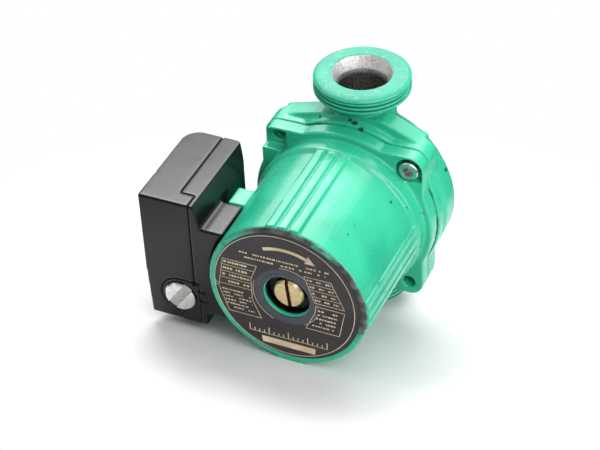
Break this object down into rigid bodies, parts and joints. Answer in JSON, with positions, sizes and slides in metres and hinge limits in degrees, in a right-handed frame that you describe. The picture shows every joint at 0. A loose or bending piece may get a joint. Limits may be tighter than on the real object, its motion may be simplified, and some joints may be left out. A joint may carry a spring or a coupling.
{
  "type": "circulator pump",
  "caption": "In-line wet-rotor circulator pump with union-threaded ports, finned motor, slotted vent plug, side terminal box and speed knob.",
  "frame": {"origin": "where the port axis crosses the shaft axis, midway between the two port faces", "axes": "+Z along the port axis to the upper port, +Y along the shaft axis from the motor's front to the pump's rear, +X to the right when facing the motor's front"},
  "size_m": [0.1259, 0.1205, 0.13],
  "materials": {
    "housing_paint": "satin",
    "motor_paint": "satin",
    "label": "matt",
    "brass": "satin",
    "zinc_steel": "satin",
    "knob_metal": "satin",
    "box_plastic": "semi-gloss",
    "switch_plastic": "matt",
    "rubber": "matt",
    "stainless": "brushed",
    "lamination": "plain",
    "copper": "enamelled wire",
    "carbon": "polished graphite",
    "impeller_plastic": "moulded",
    "pale_plastic": "moulded",
    "lead_insulation": "insulation"
  },
  "bodies": {
    "casing": {"pump_housing": "housing_paint", "housing_seal": "rubber", "wear_ring": "stainless", "front_bearing": "carbon", "rear_bearing": "carbon", "bearing_plate": "stainless", "stator_can": "stainless", "can_seal": "rubber", "stator_core": "lamination", "stator_windings": "copper", "motor_housing": "motor_paint", "name_plate": "label", "flange_screws": "zinc_steel", "terminal_box_base": "box_plastic", "neck_gasket": "rubber", "box_fixing_screws": "zinc_steel", "cover_gasket": "rubber", "speed_switch_plate": "switch_plastic", "knob_seal": "rubber", "speed_switch_body": "pale_plastic", "terminal_block": "pale_plastic", "terminal_screws": "brass", "earth_stud": "brass", "capacitor": "pale_plastic", "capacitor_clip": "stainless", "stator_leads": "lead_insulation", "gland_body": "box_plastic", "gland_seal": "rubber", "gland_nut": "box_plastic"},
    "rotor": {"rotor_shaft": "stainless", "rotor_core": "stainless", "impeller": "impeller_plastic", "impeller_clip": "stainless", "thrust_ring": "carbon", "thrust_cushion": "rubber"},
    "vent_seal": {"vent_plug_seal": "rubber"},
    "vent_screw": {"vent_plug": "brass"},
    "speed_selector": {"speed_knob": "knob_metal"},
    "cover": {"terminal_box_cover": "box_plastic"},
    "cover_fastener": {"cover_screw": "zinc_steel"}
  },
  "joints": [
    {"name": "rotor_spin", "type": "hinge", "parent": "casing", "child": "rotor", "pos_m": [0, -0.05, 0], "axis": [0, 1, 0], "continuous": true},
    {"name": "vent_plug_travel", "type": "slide", "parent": "casing", "child": "vent_seal", "axis": [0, -1, 0], "range_m": [0, 0.008]},
    {"name": "vent_plug_turn", "type": "hinge", "parent": "vent_seal", "child": "vent_screw", "pos_m": [0, -0.09, 0], "axis": [0, -1, 0], "range_deg": [0, 2880]},
    {"name": "speed_knob_turn", "type": "hinge", "parent": "casing", "child": "speed_selector", "pos_m": [-0.0588, -0.0926, -0.0209], "axis": [0, 1, 0], "range_deg": [-60, 60]},
    {"name": "cover_removal", "type": "slide", "parent": "casing", "child": "cover", "axis": [-1, 0, 0], "range_m": [0, 0.04]},
    {"name": "cover_screw_turn", "type": "hinge", "parent": "cover", "child": "cover_fastener", "pos_m": [-0.075, -0.062, 0.026], "axis": [-1, 0, 0], "continuous": true}
  ],
  "couplings": [
    {"joint": "vent_plug_turn", "follows": "vent_plug_travel", "rad_per_m": 6283.2}
  ]
}
